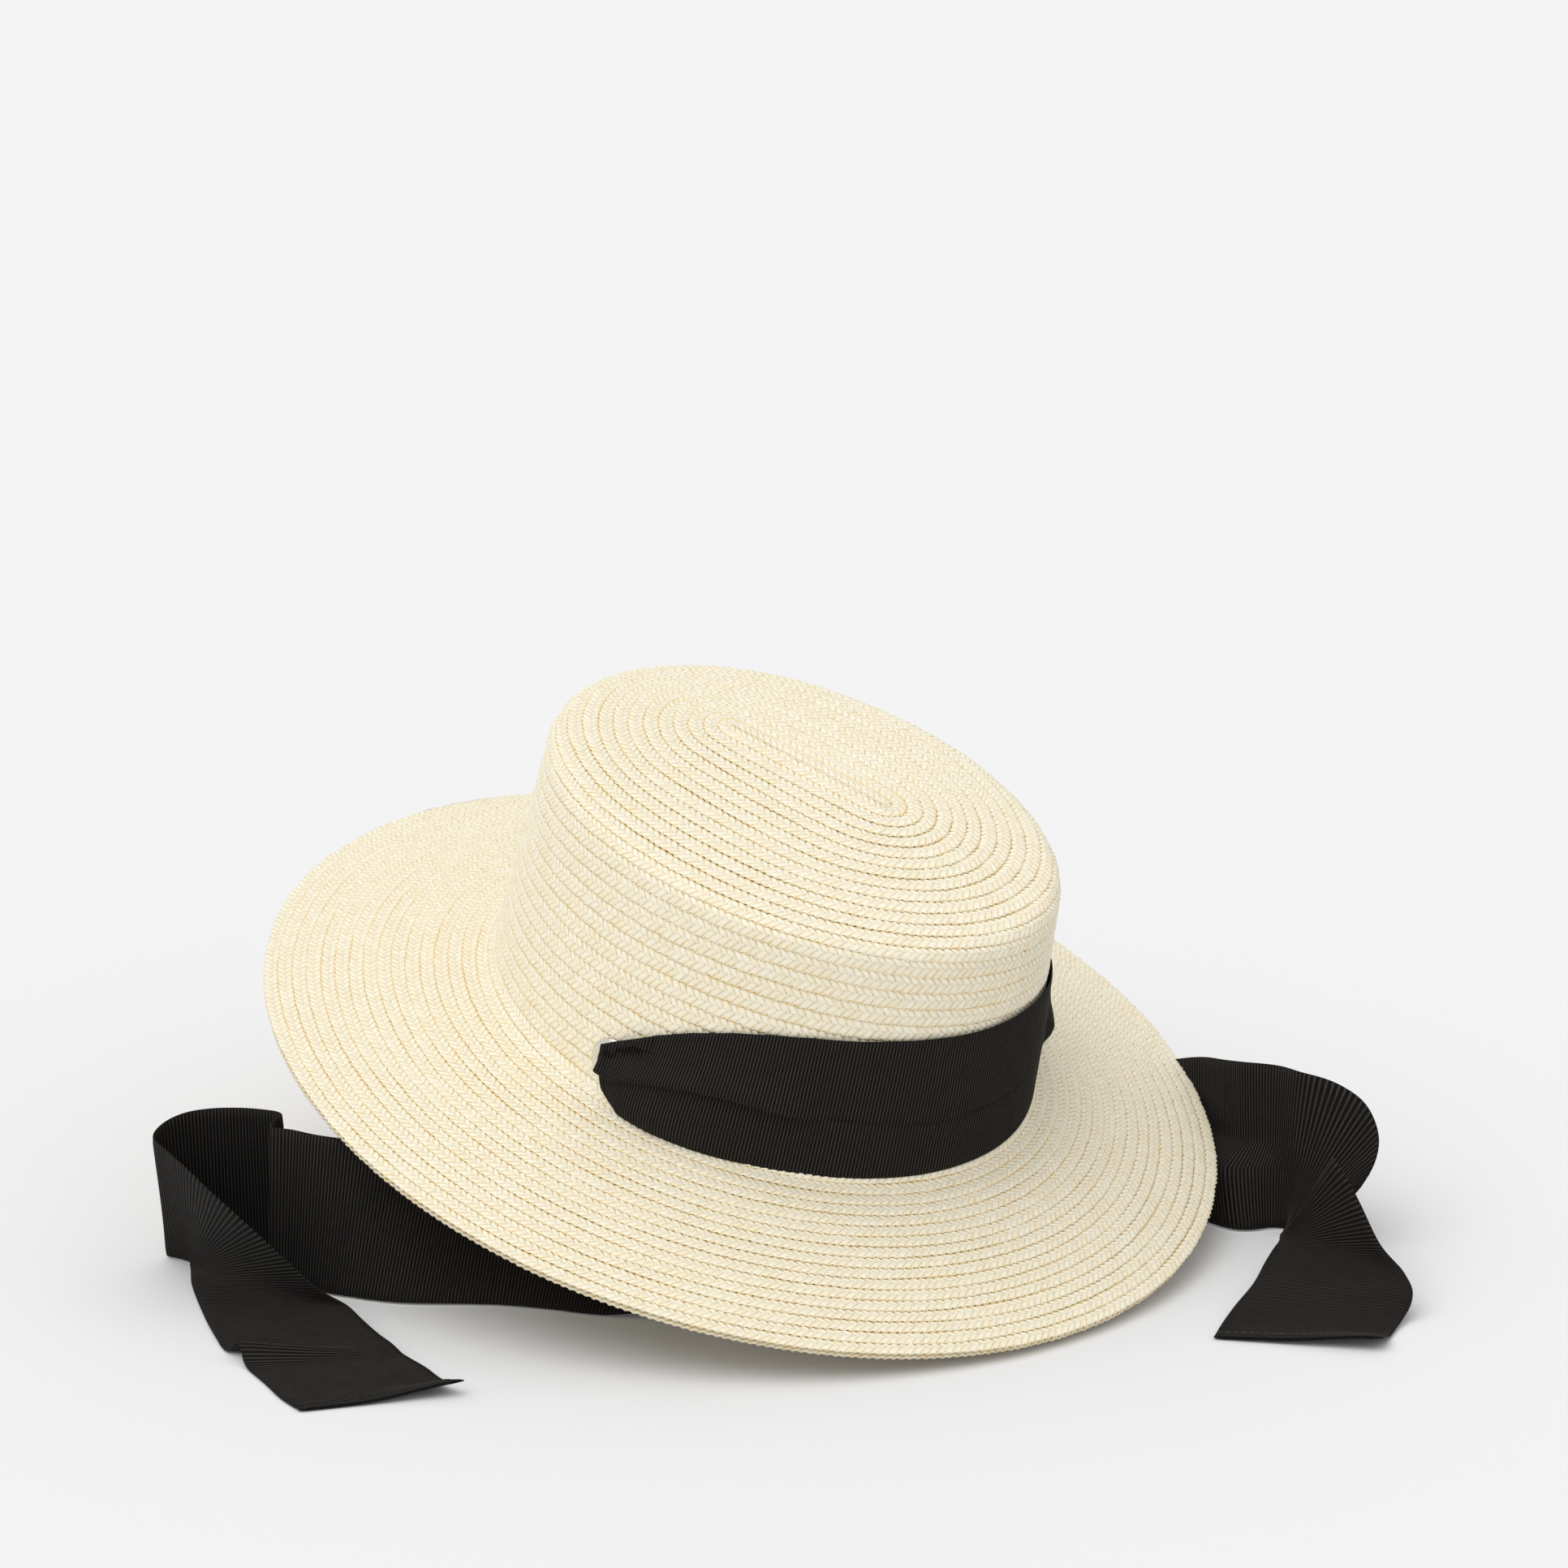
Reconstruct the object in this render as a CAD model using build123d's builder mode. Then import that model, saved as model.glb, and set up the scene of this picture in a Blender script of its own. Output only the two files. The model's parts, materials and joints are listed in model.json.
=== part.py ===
from build123d import *
from math import atan2, cos, degrees, pi, radians, sin, sqrt
import os

os.makedirs("parts", exist_ok=True)

# A boater-shaped straw sun hat with a tie ribbon, lying nose down on a flat surface with the
# two ends of its ribbon beside it. X points to the front of the hat, Y to its left, Z up.

# Driving dimensions, in mm
head_length = 199.0  # inside of the crown at its base, front to back
head_width = 168.0  # inside of the crown at its base, side to side
straw = 2.5  # thickness of the sewn braid
braid_row = 6.0  # pitch of the braid rows
crown_height = 85.5  # base of the crown to the top of its tip
crown_taper_length = 4.5  # how far each end of the crown leans in over its height
crown_taper_width = 8.5  # how far each side of the crown leans in over its height
tip_corner = 4.0  # outer rounding between the tip and the wall
tip_turn = 8.0  # how far the tip reaches down the wall
brim_front = 69.5
brim_back = 79.0
brim_side = 73.0
brim_drop = 19.0  # fall of the brim from the crown to its edge
edge_row = 2.0  # thickness of the second braid row under the brim's edge
sweatband_height = 28.0
sweatband_thickness = 0.8
sweatband_lift = 1.5  # gap between the base of the crown and the band's lower edge
eyelet_diameter = 17.0
eyelet_bore = 10.5
eyelet_tube = 0.7  # wall of the eyelet's barrel
eyelet_metal = 1.1  # thickness of the flange and of the washer
eyelet_forward = 15.0  # eyelet's centre ahead of the crown's middle
eyelet_height = 14.3  # eyelet's centre above the base of the crown
ribbon_width = 55.0
stock_width = 55.0  # width of ribbon that the climbs of the loose ends are given for
ribbon = 0.8  # thickness of the ribbon
ribbon_neck = 8.4  # height of the gathered ribbon where it passes the eyelet
neck_thickness = 3.0
hem_depth = 4.0
stitch_length = 1.8
stitch_thickness = 0.4
stitch_pitch = 2.8
nose_down = 17.0  # degrees that the hat leans forward as it lies
left_up = 1.8  # degrees that its left side is raised
seat_gap = 0.15  # clearance between pieces that are laid on each other
cloth_gap = 0.3  # clearance between the ribbon and the crown

# Worked out from the driving dimensions
base_length = head_length / 2 + straw
base_width = head_width / 2 + straw
edge_length = base_length + (brim_front + brim_back) / 2
edge_width = base_width + brim_side
edge_shift = (brim_front - brim_back) / 2
rim_bottom = -(brim_drop + straw + edge_row)
pitch_sin = sin(radians(nose_down))
pitch_cos = cos(radians(nose_down))
roll_sin = sin(radians(left_up))
roll_cos = cos(radians(left_up))

# The hat's own frame: its origin is the middle of the crown's base, lifted until the lowest
# point of the brim's edge meets the floor.
front = Vector(pitch_cos, 0, -pitch_sin)
left = Vector(pitch_sin * roll_sin, roll_cos, pitch_cos * roll_sin)
up = Vector(pitch_sin * roll_cos, -roll_sin, pitch_cos * roll_cos)
edge_reach = sqrt((edge_length * front.Z) ** 2 + (edge_width * left.Z) ** 2)
crown_lift = edge_reach - front.Z * edge_shift - up.Z * rim_bottom
hat = Plane(origin=(0, 0, crown_lift), x_dir=front, z_dir=up)
crown_axis = Axis(hat.origin, hat.z_dir)


def crown_axes(height, inset):
    """Semi-axes of the crown's oval at a height above its base, inset from its outer face."""
    share = height / crown_height
    length = base_length - crown_taper_length * share - inset
    width = base_width - crown_taper_width * share - inset
    return length, width


# Plain solids that several pieces are cut from
with BuildPart() as crown_outside:
    with BuildSketch(hat):
        Ellipse(*crown_axes(0, 0))
    with BuildSketch(hat.offset(crown_height)):
        Ellipse(*crown_axes(crown_height, 0))
    loft()
    fillet(crown_outside.edges().sort_by(crown_axis)[-1], tip_corner)

with BuildPart() as crown_inside:
    with BuildSketch(hat):
        Ellipse(*crown_axes(0, straw))
    with BuildSketch(hat.offset(crown_height - straw)):
        Ellipse(*crown_axes(crown_height - straw, straw))
    loft()
    fillet(crown_inside.edges().sort_by(crown_axis)[-1], tip_corner - straw / 2)


def sleeve(low, high, outer_inset, inner_inset):
    """An oval ring that follows the crown's wall between two heights."""
    with BuildPart() as ring:
        for inset, way in ((outer_inset, Mode.ADD), (inner_inset, Mode.SUBTRACT)):
            with BuildSketch(hat.offset(low)):
                Ellipse(*crown_axes(low, inset))
            with BuildSketch(hat.offset(high)):
                Ellipse(*crown_axes(high, inset))
            loft(mode=way)
    return ring.part


def brim_form(depth, thickness):
    """A shallow cone under the brim's upper face, lowered by a depth, with an upright edge."""
    with BuildPart() as form:
        with BuildSketch(hat.offset(-depth)):
            Ellipse(base_length, base_width)
        with BuildSketch(hat.offset(-depth - brim_drop)):
            with Locations((edge_shift, 0)):
                Ellipse(edge_length, edge_width)
        loft()
        if thickness > 0:
            with BuildSketch(hat.offset(-depth - brim_drop)):
                with Locations((edge_shift, 0)):
                    Ellipse(edge_length, edge_width)
            extrude(amount=-thickness)
    return form.part


def eyelet_plane(side):
    """Plane on the crown's outer face at an eyelet, its Z pointing straight out of the wall."""
    length, width = crown_axes(eyelet_height, 0)
    across = width * sqrt(1 - (eyelet_forward / length) ** 2)
    lean = crown_taper_width / crown_height
    outward = Vector(eyelet_forward / length**2, side * across / width**2, 0).normalized()
    outward = (outward + Vector(0, 0, lean)).normalized()
    centre = hat.from_local_coords(Vector(eyelet_forward, side * across, eyelet_height))
    along = hat.from_local_coords(Vector(1, 0, 0)) - hat.origin
    normal = hat.from_local_coords(outward) - hat.origin
    return Plane(origin=centre, x_dir=along - normal * along.dot(normal), z_dir=normal)


eyelet_planes = {"left": eyelet_plane(1), "right": eyelet_plane(-1)}
barrel_radius = eyelet_bore / 2 + eyelet_tube
hole_radius = barrel_radius + seat_gap
wall_bow = (eyelet_diameter / 2) ** 2 * base_width / (2 * base_length**2)
washer_depth = straw + seat_gap + sweatband_thickness + wall_bow + seat_gap


# Both eyelets' holes, as the solids that are cut from the wall and the sweatband
with BuildPart() as eyelet_holes:
    for plane in eyelet_planes.values():
        with BuildSketch(plane.offset(straw)):
            Circle(hole_radius)
        extrude(amount=-4 * straw)


# Crown tip: the flat oval top with its corner, turned down over the head of the wall
with BuildPart() as crown_tip:
    add(crown_outside.part)
    add(crown_inside.part, mode=Mode.SUBTRACT)
    split(bisect_by=hat.offset(crown_height - tip_turn), keep=Keep.TOP)
crown_tip.part.label = "crown_tip"

# Crown wall, with a hole on each side for the ribbon
with BuildPart() as crown_wall:
    add(crown_outside.part)
    add(crown_inside.part, mode=Mode.SUBTRACT)
    split(bisect_by=hat.offset(crown_height - tip_turn), keep=Keep.BOTTOM)
    add(eyelet_holes.part, mode=Mode.SUBTRACT)
crown_wall.part.label = "crown_wall"

# Brim: an oval dish that the wall stands on
with BuildPart() as brim:
    add(brim_form(0, straw))
    add(brim_form(straw, 0), mode=Mode.SUBTRACT)
    with BuildSketch(hat.offset(straw)):
        Ellipse(*crown_axes(0, straw))
    extrude(amount=-4 * straw, mode=Mode.SUBTRACT)
brim.part.label = "brim"

# Second braid row sewn under the brim's edge
with BuildPart() as brim_edge_braid:
    add(brim_form(straw, edge_row))
    add(brim_form(straw + edge_row, 0), mode=Mode.SUBTRACT)
    with BuildSketch(hat):
        with Locations((edge_shift, 0)):
            Ellipse(edge_length - braid_row, edge_width - braid_row)
    extrude(amount=2 * rim_bottom, mode=Mode.SUBTRACT)
brim_edge_braid.part.label = "brim_edge_braid"

# Sweatband inside the base of the crown
band_top = sweatband_lift + sweatband_height
band_outset = straw + seat_gap
band_inset = band_outset + sweatband_thickness
with BuildPart() as sweatband:
    add(sleeve(sweatband_lift, band_top, band_outset, band_inset))
    add(eyelet_holes.part, mode=Mode.SUBTRACT)
sweatband.part.label = "sweatband"

# Stitches along the sweatband's lower edge
seam_height = sweatband_lift + braid_row / 3
seam_length, seam_width = crown_axes(seam_height, band_inset + stitch_thickness)
seam_count = round(pi * (seam_length + seam_width) / (3 * stitch_pitch))
seam_places = []
for number in range(seam_count):
    turn = 2 * pi * number / seam_count
    heading = atan2(seam_width * cos(turn), -seam_length * sin(turn))
    seam_places.append(Location((seam_length * cos(turn), seam_width * sin(turn), 0), (0, 0, degrees(heading))))
with BuildPart() as sweatband_stitches:
    with BuildSketch(hat.offset(seam_height)):
        with Locations(*seam_places):
            Rectangle(2 * stitch_length, stitch_thickness)
    extrude(amount=stitch_thickness)
sweatband_stitches.part.label = "sweatband_stitches"


def make_eyelet(plane):
    """A flanged barrel through the wall and the sweatband."""
    with BuildPart() as eyelet:
        with BuildSketch(plane.offset(seat_gap)):
            Circle(eyelet_diameter / 2)
        extrude(amount=eyelet_metal)
        fillet(eyelet.edges().sort_by(Axis(plane.origin, plane.z_dir))[-1], eyelet_metal / 2)
        with BuildSketch(plane.offset(seat_gap)):
            Circle(barrel_radius)
        extrude(amount=-(washer_depth + eyelet_metal + seat_gap))
        with BuildSketch(plane.offset(seat_gap + eyelet_metal)):
            Circle(eyelet_bore / 2)
        extrude(amount=-2 * (washer_depth + 2 * eyelet_metal), mode=Mode.SUBTRACT)
    return eyelet


def make_washer(plane):
    """The ring that the barrel is closed over, on the sweatband's inner face."""
    with BuildPart() as washer:
        with BuildSketch(plane.offset(-washer_depth)):
            Circle(eyelet_diameter / 2)
            Circle(hole_radius, mode=Mode.SUBTRACT)
        extrude(amount=-eyelet_metal)
    return washer


eyelet_left = make_eyelet(eyelet_planes["left"])
eyelet_left.part.label = "eyelet_left"
eyelet_right = make_eyelet(eyelet_planes["right"])
eyelet_right.part.label = "eyelet_right"
eyelet_washer_left = make_washer(eyelet_planes["left"])
eyelet_washer_left.part.label = "eyelet_washer_left"
eyelet_washer_right = make_washer(eyelet_planes["right"])
eyelet_washer_right.part.label = "eyelet_washer_right"

# Ribbon round the outside of the crown's front half. Seen from the side its upper edge comes
# down to each eyelet, where the ribbon is gathered to pass through the bore.
ribbon_low = 1.0
ribbon_high = ribbon_low + ribbon_width * pitch_cos
flange_clear = eyelet_forward + eyelet_diameter / 2 + cloth_gap
gather_low = eyelet_height - ribbon_neck / 2 - 1.0
gather_high = eyelet_height + ribbon_neck / 2 + 5.0
neck_end = -(washer_depth + 2 * eyelet_metal)
neck_over = seat_gap + eyelet_metal + cloth_gap
with BuildPart() as ribbon_band:
    add(sleeve(ribbon_low, ribbon_high, -cloth_gap - ribbon, -cloth_gap))
    side_view = Plane(origin=hat.origin, x_dir=hat.x_dir, z_dir=-hat.y_dir)
    with BuildSketch(side_view):
        with BuildLine():
            Polyline(
                (flange_clear, gather_low),
                (flange_clear + 9, ribbon_low),
                (base_length * 1.2, ribbon_low),
                (base_length * 1.2, ribbon_high),
                (base_length * 0.8, ribbon_high),
                (base_length * 0.5, ribbon_high - 8),
                (base_length * 0.35, ribbon_high - 15),
                (flange_clear, gather_high),
                close=True,
            )
        make_face()
    extrude(amount=base_width * 1.5, both=True, mode=Mode.INTERSECT)
    for plane in eyelet_planes.values():
        neck_side = Plane(origin=plane.origin, x_dir=plane.x_dir, z_dir=plane.z_dir.cross(plane.x_dir))
        turn = 1 if neck_side.y_dir.dot(plane.z_dir) > 0 else -1
        band_end = flange_clear - eyelet_forward + 2
        with BuildSketch(neck_side):
            with BuildLine():
                Polyline(
                    (band_end, turn * (cloth_gap - wall_bow)),
                    (band_end, turn * (cloth_gap + ribbon)),
                    (eyelet_bore / 2, turn * (neck_over + neck_thickness / 2)),
                    (0, turn * (neck_over + neck_thickness / 2)),
                    (-neck_thickness / 2, turn * neck_over),
                    (-neck_thickness / 2, turn * neck_end),
                    (neck_thickness / 2, turn * neck_end),
                    (neck_thickness / 2, turn * neck_over),
                    (flange_clear - eyelet_forward - cloth_gap, turn * neck_over),
                    close=True,
                )
            make_face()
        extrude(amount=ribbon_neck / 2, both=True)
ribbon_band.part.label = "ribbon_band"

# The two loose ends of the ribbon. A station gives the place of the ribbon's lower edge, then
# the heading and the climb of the line from that edge across to the other, in degrees, and the
# ribbon's width and thickness there. The first ones lead from the eyelet, where the ribbon is
# gathered, down through the crown, and the rest lie beside the hat at the full width.
tie_right_lead = [
    (21, -64, 76, 180, 0, 14, 2.4),
    (37, -58, 54, 170, 10, 28, 1.6),
    (52, -69, 23, 150, 25, 42, 1.0),
    (53, -87, 5, 135, 30, 50, 0.8),
]
tie_right_route = [
    (34, -105, 0, 125, 28),
    (18, -114, 0, 125, 38),
    (3, -124, 0, 125, 48),
    (-24, -147, 0, 115, 72),
    (-47, -160, 0, 70, 84),
    (-68, -163, 0, 60, 86),
    (-84, -160, 0, 60, 88),
    (-98, -163, 0, 0, 88),
    (-108, -171, 0, -30, 86),
    (-104, -180, 0, -20, 82),
    (-88, -187, 0, -9, 67),
    (-67, -195, 0, -2, 45),
    (-45, -206, 0, 8, 26),
    (-27, -213, 0, 24, 15),
    (0, -221, 0, 45, 6),
    (22, -226, 0, 58, 0),
    (27, -229, 0, 58, 0),
]
tie_left_lead = [
    (21, 62, 78, 180, 0, 14, 2.4),
    (22, 49, 54, 165, 5, 28, 1.6),
    (25, 45, 29, 150, 10, 42, 1.0),
    (30, 57, 7, 140, 16, 50, 0.8),
]
tie_left_route = [
    (50, 78, 0, 134, 20),
    (70, 100, 0, 134, 28),
    (88, 122, 0, 134, 42),
    (112, 122, 0, 125, 65),
    (132, 125, 0, 110, 82),
    (147, 127, 0, 90, 88),
    (160, 124, 0, 60, 86),
    (168, 116, 0, 30, 78),
    (166, 104, 0, 10, 66),
    (163, 88, 0, 5, 52),
    (166, 72, 0, 12, 38),
    (172, 54, 0, 40, 12),
    (180, 38, 0, 40, 0),
    (187, 26, 0, 40, 0),
]


def full_width(route):
    """The same stations with the ribbon's own width and thickness added."""
    return [station + (ribbon_width, ribbon) for station in route]


def width_line(station):
    """Unit vector across the ribbon at a station. A wider ribbon rises no higher, so it leans over."""
    heading, width = radians(station[3]), station[5]
    reach = min(width, stock_width)
    rise = min(1, sin(radians(station[4])) * reach / width)
    level = sqrt(1 - rise**2)
    return Vector(level * cos(heading), level * sin(heading), rise)


def middle(station):
    """Middle of the ribbon's width at a station, clear of the floor by half its thickness."""
    lower_edge = Vector(station[0], station[1], station[2] + ribbon / 2)
    return lower_edge + width_line(station) * (station[5] / 2)


def square_plane(origin, across, along):
    """Plane through the origin, its X across the ribbon and its Z along it."""
    return Plane(origin=origin, x_dir=across, z_dir=along - across * along.dot(across))


def make_tie(side, stations):
    """One loose end of the ribbon, from the inner end of the eyelet to its hem."""
    bore = eyelet_planes[side]
    bore_end = bore.origin + bore.z_dir * (neck_end - seat_gap)
    middles = [bore_end] + [middle(station) for station in stations]
    planes = [square_plane(bore_end, bore.x_dir * -1, bore.z_dir * -1)]
    sizes = [(neck_thickness, ribbon_neck)]
    for number, station in enumerate(stations, start=1):
        after = middles[min(number + 1, len(stations))]
        planes.append(square_plane(middles[number], width_line(station), after - middles[number - 1]))
        sizes.append((station[5], station[6]))
    with BuildPart() as tie:
        for number in range(len(stations)):
            for place in (number, number + 1):
                with BuildSketch(planes[place]):
                    Rectangle(*sizes[place])
            loft(ruled=True)
    return tie


tie_right = make_tie("right", tie_right_lead + full_width(tie_right_route))
tie_right.part.label = "tie_right"
tie_left = make_tie("left", tie_left_lead + full_width(tie_left_route))
tie_left.part.label = "tie_left"


def make_hem_stitches(route):
    """The row of stitches that holds the folded hem at a ribbon's flat end."""
    end = full_width(route)[-1]
    across = width_line(end)
    along = across.rotate(Axis.Z, -90)
    first = Vector(end[0], end[1], 0) - along * hem_depth
    count = int((ribbon_width - stitch_length) / stitch_pitch)
    places = []
    for number in range(count):
        spot = first + across * (stitch_length + number * stitch_pitch)
        places.append(Location((spot.X, spot.Y, 0), (0, 0, end[3])))
    with BuildPart() as stitches:
        with BuildSketch(Plane.XY.offset(ribbon)):
            with Locations(*places):
                Rectangle(stitch_length, stitch_thickness)
        extrude(amount=stitch_thickness)
    return stitches


hem_stitches_right = make_hem_stitches(tie_right_route)
hem_stitches_right.part.label = "hem_stitches_right"
hem_stitches_left = make_hem_stitches(tie_left_route)
hem_stitches_left.part.label = "hem_stitches_left"

pieces = [
    crown_tip,
    crown_wall,
    brim,
    brim_edge_braid,
    sweatband,
    sweatband_stitches,
    eyelet_left,
    eyelet_right,
    eyelet_washer_left,
    eyelet_washer_right,
    ribbon_band,
    tie_left,
    tie_right,
    hem_stitches_left,
    hem_stitches_right,
]

# The part's origin is the middle of its whole footprint, on the floor
whole = Compound([piece.part for piece in pieces]).bounding_box()
to_origin = Location((-whole.center().X, -whole.center().Y, -whole.min.Z))
for piece in pieces:
    placed = piece.part.moved(to_origin)
    export_step(placed, "parts/" + placed.label + ".step")

origin_shift = to_origin.position
head_opening = hat.origin + origin_shift
crown_top = hat.origin + hat.z_dir * crown_height + origin_shift
for name, place in (("shift", origin_shift), ("head_opening", head_opening), ("crown_top", crown_top)):
    print(name, [round(value, 4) for value in tuple(place)])
print("crown axis", [round(value, 6) for value in tuple(hat.z_dir)])
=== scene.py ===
import json
import math

import bmesh
import bpy
import numpy as np
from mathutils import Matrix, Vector


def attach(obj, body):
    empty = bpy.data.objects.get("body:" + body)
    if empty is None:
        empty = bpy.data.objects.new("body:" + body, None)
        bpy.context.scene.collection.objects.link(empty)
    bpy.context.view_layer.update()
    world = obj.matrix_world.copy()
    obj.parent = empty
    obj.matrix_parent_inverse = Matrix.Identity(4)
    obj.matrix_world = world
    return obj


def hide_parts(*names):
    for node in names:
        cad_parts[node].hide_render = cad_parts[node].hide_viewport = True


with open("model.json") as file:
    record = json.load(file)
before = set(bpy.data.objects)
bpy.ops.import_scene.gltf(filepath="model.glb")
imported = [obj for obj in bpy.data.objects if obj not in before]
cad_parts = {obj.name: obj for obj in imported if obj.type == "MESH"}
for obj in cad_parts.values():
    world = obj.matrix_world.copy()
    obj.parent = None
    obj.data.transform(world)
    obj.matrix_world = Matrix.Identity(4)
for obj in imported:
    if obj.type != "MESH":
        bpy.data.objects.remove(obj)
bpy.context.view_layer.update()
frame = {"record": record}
MM = 0.001
TAU = 2 * math.pi


def unit(vectors, least=1e-9):
    """The vectors of an array at length 1."""
    return vectors / np.maximum(np.linalg.norm(vectors, axis=-1, keepdims=True), least)


def smooth(x):
    """0 below 0, 1 above 1, and a soft step between."""
    x = np.clip(x, 0, 1)
    return x * x * (3 - 2 * x)


def zigzag(x):
    """A wave with straight flanks: 1 at every whole number, -1 halfway between."""
    return 2 * np.abs(2 * (x % 1.0) - 1) - 1


# ---------------------------------------------------------------- the hat's own frame
mounts = {m["name"]: m for m in frame["record"]["mounts"]}
centre = np.array(mounts["head_opening"]["pos_m"])
up = unit(np.array(mounts["crown_top"]["axis"]))
front = unit(np.array([up[2], 0.0, -up[0]]))
hat_axes = np.stack([front, np.cross(up, front), up])
below_centre = np.array([centre[0], centre[1], 0.0])


def from_hat(points):
    """Points given in the hat's frame in mm, as row-frame metres."""
    return centre + (np.asarray(points, float) * MM) @ hat_axes


def from_floor(points):
    """Points given from the spot below the crown's middle, in mm, as row-frame metres."""
    return np.asarray(points, float) * MM + below_centre


# ---------------------------------------------------------------- sizes, in mm
# Half lengths and half widths of the ovals: crown at the brim, crown at the tip, edge of the brim.
BASE = np.array([102.0, 86.5])
TOP = np.array([97.5, 78.0])
EDGE = np.array([176.25, 159.5])
EDGE_SHIFT = -4.75
CROWN_HEIGHT = 85.5
BRIM_DROP = 19.0
TIP_DOME = 4.0
TIP_CORNER = 6.0
BRIM_CORNER = 6.0
# The spiral starts round a short line on the tip, given by its middle and half of its length.
START_MIDDLE = np.array([-14.0, 13.5])
START_HALF = np.array([31.0, 6.5])

# Length of the plait that one straw takes up, thickness of the braid, distance of its mesh columns,
# drop of the row under the edge, and radius of the eyelets' holes.
PLAIT = 2.75
STRAW = 1.15
COLUMN = 0.6
EDGE_ROW_DROP = 2.0
HOLE = 6.2

# Width and thickness of the ribbon, and distance and height of its ribs.
RIBBON_WIDTH = 55.0
RIBBON = 0.55
RIB = 1.15
RIB_HEIGHT = 0.15

# An eyelet's place: forward of the crown's middle, and height above the brim.
EYELET_FORWARD = 15.0
EYELET_HEIGHT = 14.3

# Width and thickness of the sweatband, its height above the brim, how far it lies inside the
# crown's outer face, and how far round it goes in degrees.
SWEATBAND = 28.0
SWEATBAND_THICK = 0.8
SWEATBAND_LIFT = 1.5
SWEATBAND_INSIDE = 3.05
SWEATBAND_TURN = 361.5

# ---------------------------------------------------------------- rows of the spiral
# Rows from the spiral's start to the crown's base and to the brim's edge.
ROWS_BASE = 28.0
ROWS_EDGE = 44.0
# Turns at which the straw pieces after the tip start, and where the last one stops.
WALL_FIRST, WALL_HALF, BRIM_FIRST, BRIM_HALF, LAST = 12, 20, 28, 36, 44
# The braid's end tapers off over the last part of its last turn.
TAPER_START, TAPER = 0.94, 0.06
# Rows on the tip: their mean number, how far it varies round the oval, and where it is largest.
TIP_ROWS, TIP_ROWS_MORE, TIP_ROWS_AT = 12.2, 2.0, math.radians(-50)


# ---------------------------------------------------------------- meshes
def new_object(name, mesh):
    obj = bpy.data.objects.new(name, mesh)
    bpy.context.scene.collection.objects.link(obj)
    return obj


def make_mesh(name, points, quads, attributes=None, extra=()):
    """A smooth mesh from points in metres, quads and extra faces, with float point attributes."""
    mesh = bpy.data.meshes.new(name)
    faces = [np.asarray(quads, np.int32).ravel()] + [np.asarray(f, np.int32) for f in extra]
    loops = np.concatenate(faces)
    sizes = np.array([4] * len(quads) + [len(f) for f in extra])
    starts = np.concatenate([[0], np.cumsum(sizes)[:-1]])
    mesh.vertices.add(len(points))
    mesh.vertices.foreach_set("co", np.asarray(points, np.float32).ravel())
    mesh.loops.add(len(loops))
    mesh.loops.foreach_set("vertex_index", loops)
    mesh.polygons.add(len(sizes))
    mesh.polygons.foreach_set("loop_start", starts.astype(np.int32))
    mesh.polygons.foreach_set("use_smooth", np.ones(len(sizes), bool))
    mesh.update(calc_edges=True)
    mesh.validate()
    for key, values in (attributes or {}).items():
        layer = mesh.attributes.new(key, "FLOAT", "POINT")
        layer.data.foreach_set("value", np.asarray(values, np.float32).ravel())
    return mesh


def ring_quads(columns, ring, first=0):
    """Quads of a tube of columns, each a closed ring of points."""
    i, j = np.meshgrid(np.arange(columns - 1), np.arange(ring), indexing="ij")
    a = first + i * ring + j
    b = first + i * ring + (j + 1) % ring
    return np.stack([a, a + ring, b + ring, b], -1).reshape(-1, 4)


def tube_mesh(name, grid, along, across):
    """A closed mesh from a grid of columns x ring x 3 points, with its two cloth coordinates."""
    columns, ring = grid.shape[:2]
    last = (columns - 1) * ring
    caps = [list(range(ring)), [last + j for j in reversed(range(ring))]]
    attributes = {
        "along": np.broadcast_to(along, (columns, ring)).reshape(-1),
        "across": np.broadcast_to(across, (columns, ring)).reshape(-1),
    }
    return make_mesh(name, grid.reshape(-1, 3), ring_quads(columns, ring), attributes, caps)


def lathe(name, profile, place, axis, turns=72):
    """A closed ring of revolution from a closed profile of (radius, height) in mm."""
    ref = unit(np.cross(axis, up))
    other = np.cross(axis, ref)
    angle = np.linspace(0, TAU, turns, endpoint=False)
    spokes = ref * np.cos(angle)[:, None] + other * np.sin(angle)[:, None]
    profile = np.array(profile, float) * MM
    grid = place + spokes[:, None] * profile[None, :, :1] + axis * profile[None, :, 1:]
    n = len(profile)
    i, j = np.meshgrid(np.arange(turns), np.arange(n), indexing="ij")
    here, ahead = i * n, ((i + 1) % turns) * n
    after = (j + 1) % n
    quads = np.stack([here + j, here + after, ahead + after, ahead + j], -1).reshape(-1, 4)
    return new_object(name, make_mesh(name, grid.reshape(-1, 3), quads))


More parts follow.
